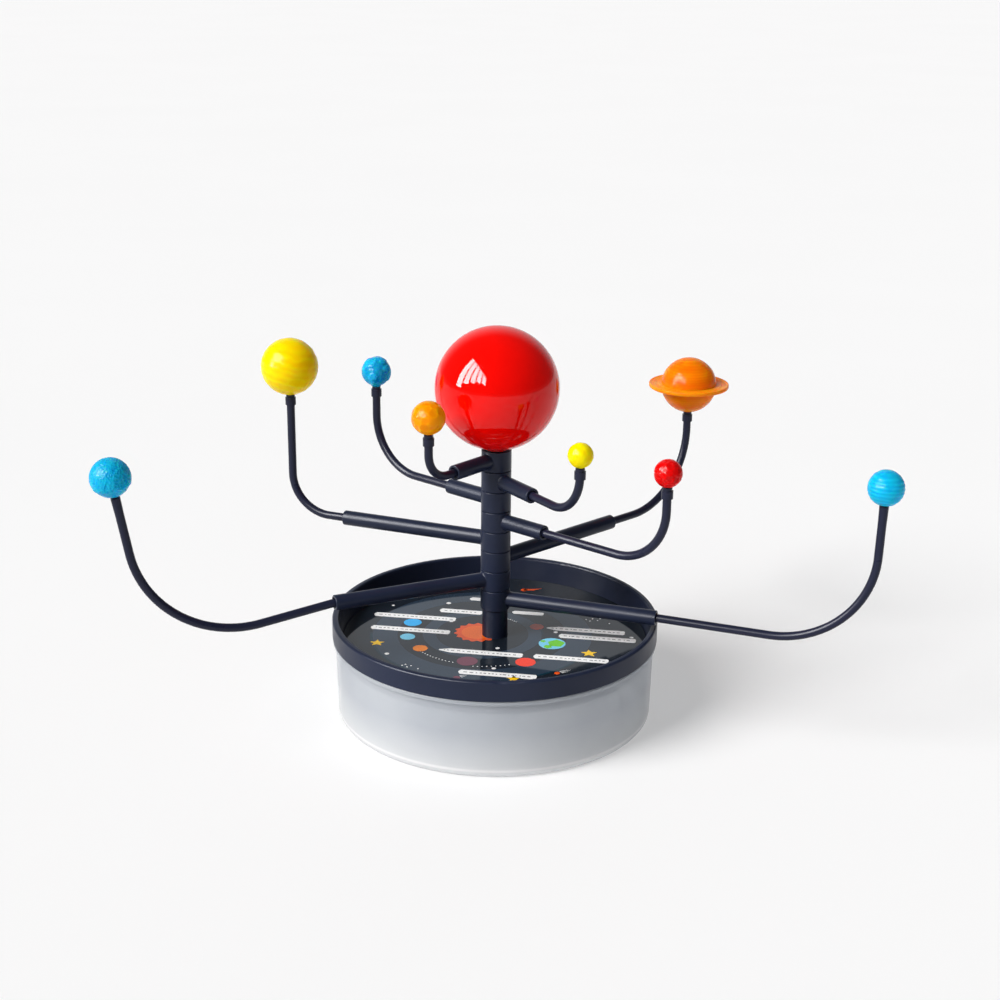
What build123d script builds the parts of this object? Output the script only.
from build123d import *
import os
from math import cos, radians, sin, tan
from typing import NamedTuple

# A tabletop orrery. A frosted storage drum is closed by a shallow navy tray with a printed disc in it.
# A spindle stands on the tray and carries a stack of eight hubs, each with a socket tube. A J-shaped arm
# plugs into each tube and holds one planet on a round peg. A hollow sun slips over the spindle's top.
#
# Millimetres. +Z is up, and the origin is the centre of the drum's underside. Azimuths are degrees
# counter-clockwise from +X, seen from above.

# Drum
DRUM_R = 82.3  # outer radius below the lip
DRUM_FOOT_R = 81.5  # outer radius at the foot, smaller by the draft
DRUM_WALL = 1.8
DRUM_FLOOR = 2.0
DRUM_TOP_Z = 41.8
DRUM_FOOT_FILLET = 3.2
LIP_R = 83.7
LIP_H = 2.2
FOOT_GROOVE_R = 68.0  # middle of the shallow groove under the floor
FOOT_GROOVE_W = 1.6
FOOT_GROOVE_DEPTH = 0.5

# Tray
TRAY_R = 84.0
TRAY_RIM_Z = 52.4
TRAY_BAND_Z = 42.0  # underside of the band, just clear of the drum's lip
TRAY_RIM_IN_R = 80.8
RIM_FILLET = 1.1
BAND_FILLET = 0.4
TRAY_WELL_R = 78.8  # inside radius at the floor
TRAY_FLOOR_Z = 39.8  # top of the tray's floor
TRAY_FLOOR_T = 2.0
SPIGOT_R = 80.1  # the ring that drops inside the drum's mouth
SPIGOT_WALL = 1.8
SPIGOT_Z = 34.0
RIB_COUNT = 6
RIB_T = 1.6
RIB_H = 2.8
BOSS_R = 9.0
BOSS_Z = 30.0

# Printed disc
DISC_R = 78.4
DISC_TOP_Z = 40.6
DISC_HOLE_R = 6.8

# Spindle and its screw
POST_R = 6.6
PILOT_R = 4.5
PILOT_Z = 34.0
SHAFT_R = 3.5
SHAFT_TOP_Z = 158.0
SCREW_R = 1.45
SCREW_LENGTH = 12.0
SCREW_HEAD_R = 3.2
SCREW_HEAD_H = 1.8
SCREW_SLOT_LENGTH = 3.5
SCREW_SLOT_W = 0.65
SCREW_HOLE_SPARE = 1.0  # depth of the spindle's hole past the screw's tip
SCREW_CLEARANCE = 0.3
SCREW_SEAT_Z = 32.4  # where the head bears on the tray's boss
PRESS_GAP = 0.05  # radial gap of a push fit

# Hub stack
STACK_Z = 55.9  # top of the post, where the lowest hub rests
HUB_PITCH = 10.72
HUB_GAP = 0.2
HUB_R = 7.6
HUB_EDGE = 0.35
RUN_GAP = 0.05  # radial gap of a running fit
TUBE_R = 3.85
TUBE_EDGE = 0.4
TUBE_ROOT_FILLET = 0.8
SHORT_TUBE = 31.4  # from the axis to the mouth
LONG_TUBE = 85.0
URANUS_TUBE = 87.0
TUBE_BORE_START = 12.0
MOUTH_R = 2.75
MOUTH_DEPTH = 1.6

# Arms
ROD_R = 2.1
ROD_INSERT = 14.0  # how far the rod goes into its tube
CRANK = 2.0  # tangent length of the small crank where an arm sags out of its mouth
COLLAR_R = 2.75
COLLAR_H = 3.9
NECK_R = 2.25
NECK_H = 1.6
SWELL_R = 2.3  # where a rod without a collar meets its planet
SWELL_H = 9.0
PEG_R = 1.6
SEAT_GAP = 0.1  # between the neck and the planet
PEG_DEPTH = 0.6  # of the planet's radius
PEG_END_GAP = 0.3

# Saturn's ring
RING_R = 22.0
RING_T = 1.5
RING_LIP_W = 1.3
RING_LIP_T = 2.1
RING_GROOVE_R = 14.3

# Sun
SUN_R = 31.1
SUN_Z = 173.0
SUN_WALL = 1.8
SUN_LAP_UP = 2.2  # how far the lower shell's inner ring stands into the upper shell
SUN_LAP_DOWN = 6.0
SUN_LAP_GAP = 0.15
SUN_BOSS_R = 6.2
SUN_BOSS_ROOF = 2.0
SUN_FLAT = 0.1  # how much of the sphere's foot is cut flat

NEAR = 0.1  # slack for choosing edges and corners by their place
PAST = 1.0  # how far a cut runs past the surface that it opens


class Planet(NamedTuple):
    """One planet, its arm and its hub. reach and rise are measured before any sag."""

    name: str
    tier: int  # 0 is the lowest hub
    azimuth: float
    tube: float
    reach: float  # from the axis to the planet's centre
    rise: float  # from the hub's middle up to the planet's centre
    bend_r: float
    ball_r: float
    collar: bool = True
    sag: float = 0.0  # degrees that the arm droops outside its tube
    swing: float = 0.0  # degrees that it leans sideways there

    @property
    def hub_z(self):
        return STACK_Z + (self.tier + 0.5) * HUB_PITCH

    @property
    def along(self):
        """Direction of the arm's level run."""
        turn, drop = radians(self.azimuth + self.swing), radians(self.sag)
        return Vector(cos(turn) * cos(drop), sin(turn) * cos(drop), -sin(drop))

    @property
    def upright(self):
        """Direction of the arm's upper run, square to the level one."""
        turn, drop = radians(self.azimuth + self.swing), radians(self.sag)
        return Vector(cos(turn) * sin(drop), sin(turn) * sin(drop), cos(drop))

    @property
    def tube_heading(self):
        return Vector(cos(radians(self.azimuth)), sin(radians(self.azimuth)), 0)

    @property
    def mouth(self):
        return Vector(0, 0, self.hub_z) + self.tube_heading * self.tube

    @property
    def centre(self):
        return self.mouth + self.along * (self.reach - self.tube) + self.upright * self.rise

    @property
    def ball_plane(self):
        return Plane(origin=self.centre, x_dir=self.along, z_dir=self.upright)


PLANETS = [
    Planet("neptune", 0, -17.4, LONG_TUBE, 190.0, 83.3, 48.3, 8.86, collar=False, sag=1.3),
    Planet("uranus", 1, -156.1, URANUS_TUBE, 177.4, 91.7, 53.1, 9.8, collar=False, sag=9.5, swing=-4.5),
    Planet("saturn", 2, 42.5, LONG_TUBE, 143.9, 66.7, 41.2, 15.2),
    Planet("jupiter", 3, 159.3, LONG_TUBE, 115.0, 79.0, 21.1, 14.8),
    Planet("mars", 4, -39.8, SHORT_TUBE, 103.5, 47.1, 28.1, 6.7),
    Planet("earth", 5, 139.8, SHORT_TUBE, 83.5, 51.8, 28.0, 7.8),
    Planet("venus", 6, -55.4, SHORT_TUBE, 69.1, 31.0, 20.7, 6.1),
    Planet("mercury", 7, -131.4, SHORT_TUBE, 49.2, 31.8, 13.4, 8.2),
]


def save(builder, name):
    """Label a finished piece and write it to its own STEP file."""
    builder.part.label = name
    export_step(builder.part, f"parts/{name}.step")


def column(radius, z_from, z_to, mode=Mode.ADD):
    """A round column on the main axis, added to or cut from the piece being built."""
    with Locations((0, 0, z_from)):
        Cylinder(radius, z_to - z_from, align=(Align.CENTER, Align.CENTER, Align.MIN), mode=mode)


def build_drum():
    """Tub with drafted walls, a lip round its mouth and a flat underside."""
    lip_z = DRUM_TOP_Z - LIP_H
    with BuildPart() as drum:
        with BuildSketch(Plane.XZ) as section:
            with BuildLine():
                Polyline(
                    (0, 0),
                    (DRUM_FOOT_R, 0),
                    (DRUM_R, lip_z),
                    (LIP_R, lip_z),
                    (LIP_R, DRUM_TOP_Z),
                    (DRUM_R - DRUM_WALL, DRUM_TOP_Z),
                    (DRUM_FOOT_R - DRUM_WALL, DRUM_FLOOR),
                    (0, DRUM_FLOOR),
                    close=True,
                )
            make_face()
            corners = section.vertices().filter_by_position(Axis.Y, -1, DRUM_FLOOR + NEAR)
            foot, inside = corners.filter_by_position(Axis.X, 1, DRUM_R).sort_by(Axis.Y)
            fillet(foot, DRUM_FOOT_FILLET)
            fillet(inside, DRUM_FOOT_FILLET - DRUM_WALL)
            lip = section.vertices().filter_by_position(Axis.X, LIP_R - NEAR, LIP_R + NEAR)
            fillet(lip, LIP_H / 4)
        revolve(axis=Axis.Z)
        with BuildSketch():
            Circle(FOOT_GROOVE_R + FOOT_GROOVE_W / 2)
            Circle(FOOT_GROOVE_R - FOOT_GROOVE_W / 2, mode=Mode.SUBTRACT)
        extrude(amount=FOOT_GROOVE_DEPTH, mode=Mode.SUBTRACT)
    save(drum, "storage_drum")


def build_tray():
    """Shallow dish: a rim wall, a floor, a locating spigot, ribs and a boss for the spindle."""
    under_z = TRAY_FLOOR_Z - TRAY_FLOOR_T
    spigot_in_r = SPIGOT_R - SPIGOT_WALL
    with BuildPart() as tray:
        with BuildSketch(Plane.XZ) as section:
            with BuildLine():
                Polyline(
                    (0, under_z),
                    (spigot_in_r, under_z),
                    (spigot_in_r, SPIGOT_Z),
                    (SPIGOT_R, SPIGOT_Z),
                    (SPIGOT_R, TRAY_BAND_Z),
                    (TRAY_R, TRAY_BAND_Z),
                    (TRAY_R, TRAY_RIM_Z),
                    (TRAY_RIM_IN_R, TRAY_RIM_Z),
                    (TRAY_WELL_R, TRAY_FLOOR_Z),
                    (0, TRAY_FLOOR_Z),
                    close=True,
                )
            make_face()
            rim = section.vertices().group_by(Axis.Y)[-1]
            fillet(rim, RIM_FILLET)
            band_edge = section.vertices().filter_by_position(Axis.Y, TRAY_BAND_Z - NEAR, TRAY_BAND_Z + NEAR)
            fillet(band_edge.sort_by(Axis.X)[-1], BAND_FILLET)
        revolve(axis=Axis.Z)
        column(BOSS_R, BOSS_Z, under_z)
        rib_length = spigot_in_r - BOSS_R + 2 * RIB_T  # each end runs into the boss or the spigot
        with BuildSketch(Plane.XY.offset(under_z - RIB_H)):
            with PolarLocations((spigot_in_r + BOSS_R) / 2, RIB_COUNT):
                Rectangle(rib_length, RIB_T)
            Circle(PILOT_R, mode=Mode.SUBTRACT)
        extrude(amount=RIB_H)
        column(PILOT_R + PRESS_GAP, PILOT_Z, TRAY_FLOOR_Z, Mode.SUBTRACT)
        column(SCREW_R + SCREW_CLEARANCE, BOSS_Z, PILOT_Z, Mode.SUBTRACT)
        column(SCREW_HEAD_R + SCREW_CLEARANCE, BOSS_Z, SCREW_SEAT_Z, Mode.SUBTRACT)
    save(tray, "tray_lid")


def build_disc():
    """Flat printed disc with a hole for the post."""
    with BuildPart() as disc:
        column(DISC_R, TRAY_FLOOR_Z, DISC_TOP_Z)
        column(DISC_HOLE_R, TRAY_FLOOR_Z, DISC_TOP_Z, Mode.SUBTRACT)
    save(disc, "printed_disc")


def build_spindle():
    """Post with a pilot below it and the long shaft above it."""
    with BuildPart() as spindle:
        column(PILOT_R, PILOT_Z, TRAY_FLOOR_Z)
        column(POST_R, TRAY_FLOOR_Z, STACK_Z - HUB_GAP / 2)
        chamfer(spindle.edges().group_by(Axis.Z)[-1], HUB_EDGE)
        column(SHAFT_R, STACK_Z - HUB_GAP, SHAFT_TOP_Z)
        chamfer(spindle.edges().group_by(Axis.Z)[-1], SHAFT_R / 5)
        column(SCREW_R + PRESS_GAP, PILOT_Z, SCREW_SEAT_Z + SCREW_LENGTH + SCREW_HOLE_SPARE, Mode.SUBTRACT)
    save(spindle, "spindle")


def build_screw():
    """Pan-head screw that holds the spindle from below, with a cross recess."""
    head_z = SCREW_SEAT_Z - SCREW_HEAD_H
    with BuildPart() as screw:
        column(SCREW_HEAD_R, head_z, SCREW_SEAT_Z)
        fillet(screw.edges().group_by(Axis.Z)[0], SCREW_HEAD_H / 2)
        column(SCREW_R, SCREW_SEAT_Z, SCREW_SEAT_Z + SCREW_LENGTH)
        chamfer(screw.edges().group_by(Axis.Z)[-1], SCREW_R / 2)
        with BuildSketch(Plane.XY.offset(head_z)):
            with PolarLocations(0, 2, angular_range=180):
                Rectangle(SCREW_SLOT_LENGTH, SCREW_SLOT_W)
        extrude(amount=SCREW_HEAD_H / 2, mode=Mode.SUBTRACT)
    save(screw, "spindle_screw")


def build_carrier(planet):
    """Hub ring that turns on the shaft, moulded in one with its socket tube."""
    hub_h = HUB_PITCH - HUB_GAP
    low, high = planet.hub_z - hub_h / 2, planet.hub_z + hub_h / 2
    mouth_plane = Plane(origin=planet.mouth, z_dir=planet.tube_heading)
    with BuildPart() as carrier:
        column(HUB_R, low, high)
        fillet(carrier.edges().filter_by(GeomType.CIRCLE), HUB_EDGE)
        with BuildSketch(mouth_plane):
            Circle(TUBE_R)
        extrude(amount=-planet.tube)
        fillet(carrier.faces().sort_by_distance(planet.mouth)[0].edges(), TUBE_EDGE)
        root = carrier.edges().filter_by(GeomType.CIRCLE, reverse=True).filter_by(GeomType.LINE, reverse=True)
        fillet(root, TUBE_ROOT_FILLET)
        column(SHAFT_R + RUN_GAP, low, high, Mode.SUBTRACT)
        with BuildSketch(mouth_plane):
            Circle(ROD_R + PRESS_GAP)
        extrude(amount=TUBE_BORE_START - planet.tube, mode=Mode.SUBTRACT)
        with BuildSketch(mouth_plane):
            Circle(MOUTH_R)
        extrude(amount=-MOUTH_DEPTH, mode=Mode.SUBTRACT)
    save(carrier, f"{planet.name}_carrier")


def build_arm(planet):
    """J-shaped rod from its tube to its planet, with a collar, a neck and a peg at its top."""
    inner_end = planet.mouth - planet.tube_heading * ROD_INSERT
    crank_start = planet.mouth - planet.tube_heading * CRANK * bool(planet.sag)
    crank_end = planet.mouth + planet.along * CRANK * bool(planet.sag)
    bend_start = planet.mouth + planet.along * (planet.reach - planet.tube - planet.bend_r)
    bend_end = bend_start + (planet.along + planet.upright) * planet.bend_r
    seat = -(planet.ball_r + SEAT_GAP)
    head_h = NECK_H + COLLAR_H if planet.collar else SWELL_H
    rod_end = planet.centre + planet.upright * (seat - head_h)
    with BuildPart() as arm:
        with BuildLine() as route:
            Line(inner_end, crank_start)
            if planet.sag:
                TangentArc(crank_start, crank_end, tangent=planet.tube_heading)
            Line(crank_end, bend_start)
            TangentArc(bend_start, bend_end, tangent=planet.along)
            Line(bend_end, rod_end)
        with BuildSketch(Plane(origin=inner_end, z_dir=planet.tube_heading)):
            Circle(ROD_R)
        sweep()
        if planet.collar:
            with BuildSketch(planet.ball_plane.offset(seat - head_h)):
                Circle(COLLAR_R)
            extrude(amount=COLLAR_H)
            with BuildSketch(planet.ball_plane.offset(seat - NECK_H)):
                Circle(NECK_R)
            extrude(amount=NECK_H)
        else:
            with BuildSketch(planet.ball_plane.offset(seat - head_h)):
                Circle(ROD_R)
            with BuildSketch(planet.ball_plane.offset(seat)):
                Circle(SWELL_R)
            loft()
        with BuildSketch(planet.ball_plane.offset(seat)):
            Circle(PEG_R)
        extrude(amount=PEG_DEPTH * planet.ball_r)
    save(arm, f"{planet.name}_arm")


def build_planet(planet):
    """Solid ball with a blind peg hole, and for the ringed planet a groove round its middle."""
    with BuildPart(planet.ball_plane) as ball:
        Sphere(planet.ball_r)
        with BuildSketch(planet.ball_plane.offset(-planet.ball_r - PAST)):
            Circle(PEG_R + RUN_GAP)
        extrude(amount=PAST + PEG_DEPTH * planet.ball_r + PEG_END_GAP, mode=Mode.SUBTRACT)
        if planet.name == "saturn":
            groove_h = RING_T + 2 * PRESS_GAP
            with BuildSketch(planet.ball_plane.offset(-groove_h / 2)):
                Circle(planet.ball_r + PAST)
                Circle(RING_GROOVE_R, mode=Mode.SUBTRACT)
            extrude(amount=groove_h, mode=Mode.SUBTRACT)
    save(ball, planet.name)


def build_ring(planet):
    """Flat ring with a raised outer lip, seated in the ball's groove."""
    with BuildPart() as ring:
        with BuildSketch(planet.ball_plane.offset(-RING_T / 2)):
            Circle(RING_R)
        extrude(amount=RING_T)
        with BuildSketch(planet.ball_plane.offset(-RING_LIP_T / 2)):
            Circle(RING_R)
            Circle(RING_R - RING_LIP_W, mode=Mode.SUBTRACT)
        extrude(amount=RING_LIP_T)
        fillet(ring.edges().filter_by(GeomType.CIRCLE).group_by(SortBy.RADIUS)[-1], RING_LIP_T / 4)
        with BuildSketch(planet.ball_plane.offset(-RING_T)):
            Circle(RING_GROOVE_R + PRESS_GAP)
        extrude(amount=2 * RING_T, mode=Mode.SUBTRACT)
    save(ring, f"{planet.name}_ring")


def build_sun():
    """Hollow ball in two shells that lap at the middle; the lower one has the socket for the shaft."""
    inner_r = SUN_R - SUN_WALL
    middle = Plane.XY.offset(SUN_Z)
    with BuildPart() as upper:
        with Locations(middle):
            Sphere(SUN_R)
            Sphere(inner_r, mode=Mode.SUBTRACT)
        split(bisect_by=middle, keep=Keep.TOP)
    save(upper, "sun_upper_shell")

    foot_z = SUN_Z - SUN_R
    with BuildPart() as lower:
        with Locations(middle):
            Sphere(SUN_R)
            Sphere(inner_r, mode=Mode.SUBTRACT)
        split(bisect_by=middle, keep=Keep.BOTTOM)
        with BuildSketch(middle.offset(-SUN_LAP_DOWN)):
            Circle(inner_r - SUN_LAP_GAP)
            Circle(inner_r - SUN_WALL, mode=Mode.SUBTRACT)
        extrude(amount=SUN_LAP_DOWN + SUN_LAP_UP)
        column(SUN_BOSS_R, foot_z + SUN_FLAT, SHAFT_TOP_Z + SUN_BOSS_ROOF)
        column(SHAFT_R + PRESS_GAP, foot_z - PAST, SHAFT_TOP_Z, Mode.SUBTRACT)
        column(SUN_R, foot_z - PAST, foot_z + SUN_FLAT, Mode.SUBTRACT)
    save(lower, "sun_lower_shell")


os.makedirs("parts", exist_ok=True)
build_drum()
build_tray()
build_disc()
build_spindle()
build_screw()
for each in PLANETS:
    build_carrier(each)
    build_arm(each)
    build_planet(each)
    if each.name == "saturn":
        build_ring(each)
build_sun()
